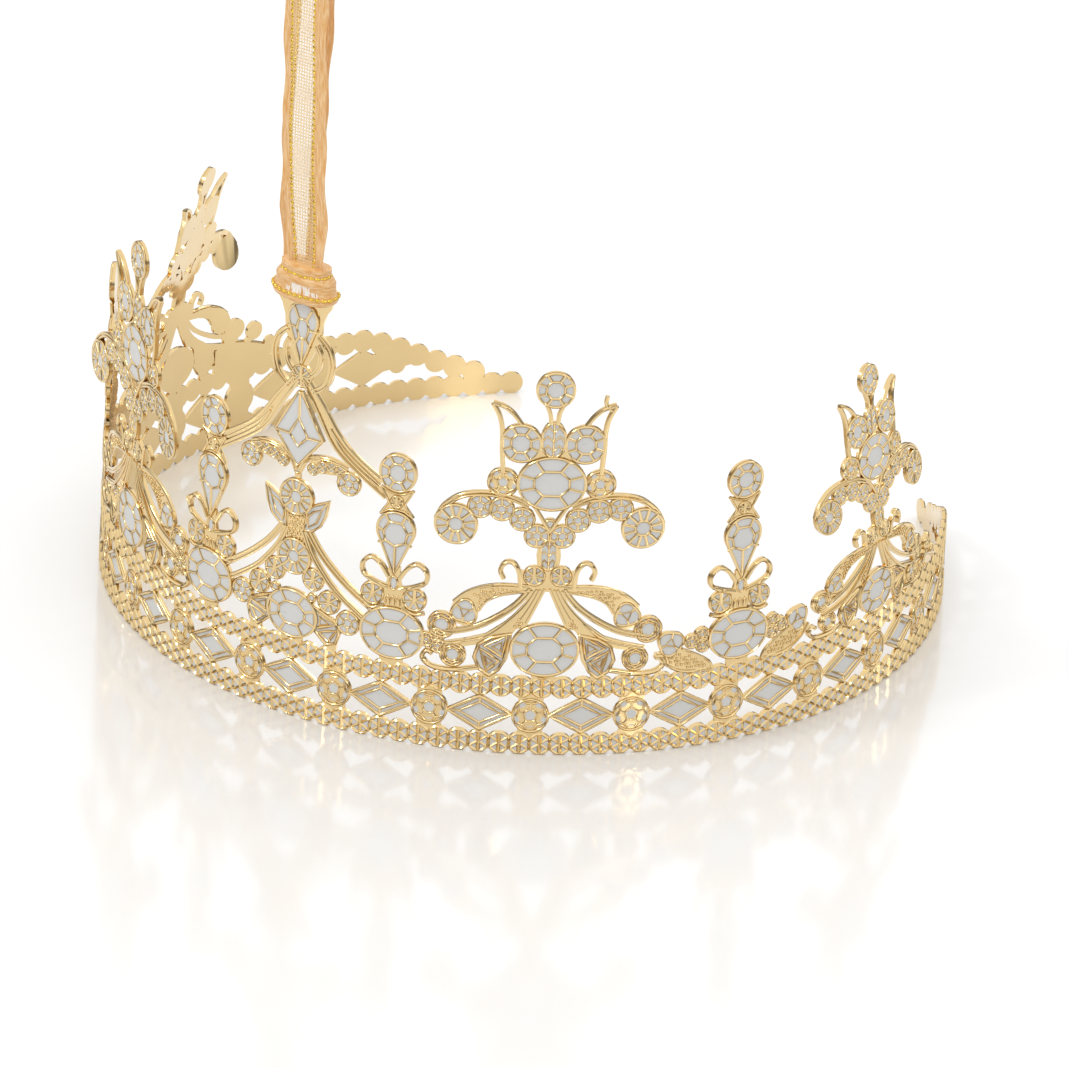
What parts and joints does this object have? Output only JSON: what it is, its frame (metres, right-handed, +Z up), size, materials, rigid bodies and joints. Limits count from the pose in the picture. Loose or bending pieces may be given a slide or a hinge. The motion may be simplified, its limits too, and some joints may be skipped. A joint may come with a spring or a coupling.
{
  "type": "hanging crown ornament",
  "caption": "Miniature open crown bent from one thin etched gold-finished sheet with pale enamel cells, hung from a knotted loop of sheer ribbon.",
  "frame": {"origin": "on the surface the crown stands on, under the middle of the ring", "axes": "+X across the front from left to right as one faces it, +Y from the front to the open back, +Z up"},
  "size_m": [0.0932, 0.088, 0.0936],
  "materials": {
    "gold_brass": "polished gold plate on thin etched brass",
    "enamel": "satin silver-white enamel",
    "ribbon": "sheer organza with satin edges and metallic threads"
  },
  "bodies": {
    "root": {"enamel_left_bouquet_1_base_gem": "enamel", "enamel_left_bouquet_1_great_gem": "enamel", "enamel_left_bouquet_1_inner_round_gem": "enamel", "enamel_left_bouquet_1_inner_volute_gem": "enamel", "enamel_left_bouquet_1_outer_round_gem": "enamel", "enamel_left_bouquet_1_outer_volute_gem": "enamel", "enamel_left_bouquet_1_top_gem": "enamel", "enamel_left_bouquet_2_base_gem": "enamel", "enamel_left_bouquet_2_great_gem": "enamel", "enamel_left_bouquet_2_inner_round_gem": "enamel", "enamel_left_bouquet_2_inner_volute_gem": "enamel", "enamel_left_bouquet_2_outer_round_gem": "enamel", "enamel_left_bouquet_2_outer_volute_gem": "enamel", "enamel_left_bouquet_2_top_gem": "enamel", "enamel_left_spire_1_base_gem": "enamel", "enamel_left_spire_1_head_gem": "enamel", "enamel_left_spire_1_pear_gem": "enamel", "enamel_left_spire_2_base_gem": "enamel", "enamel_left_spire_2_head_gem": "enamel", "enamel_left_spire_2_pear_gem": "enamel", "enamel_middle_base_gem": "enamel", "enamel_middle_kite_gem": "enamel", "enamel_middle_lower_round_gem": "enamel", "enamel_middle_pear_gem": "enamel", "enamel_middle_upper_round_gem": "enamel", "enamel_right_bouquet_1_base_gem": "enamel", "enamel_right_bouquet_1_great_gem": "enamel", "enamel_right_bouquet_1_inner_round_gem": "enamel", "enamel_right_bouquet_1_inner_volute_gem": "enamel", "enamel_right_bouquet_1_outer_round_gem": "enamel", "enamel_right_bouquet_1_outer_volute_gem": "enamel", "enamel_right_bouquet_1_top_gem": "enamel", "enamel_right_bouquet_2_base_gem": "enamel", "enamel_right_bouquet_2_great_gem": "enamel", "enamel_right_bouquet_2_inner_round_gem": "enamel", "enamel_right_bouquet_2_inner_volute_gem": "enamel", "enamel_right_bouquet_2_outer_round_gem": "enamel", "enamel_right_bouquet_2_outer_volute_gem": "enamel", "enamel_right_bouquet_2_top_gem": "enamel", "enamel_right_spire_1_base_gem": "enamel", "enamel_right_spire_1_head_gem": "enamel", "enamel_right_spire_1_pear_gem": "enamel", "enamel_right_spire_2_base_gem": "enamel", "enamel_right_spire_2_head_gem": "enamel", "enamel_right_spire_2_pear_gem": "enamel", "etched_sheet": "gold_brass", "ribbon_knot": "ribbon", "ribbon_loop": "ribbon"}
  },
  "joints": []
}
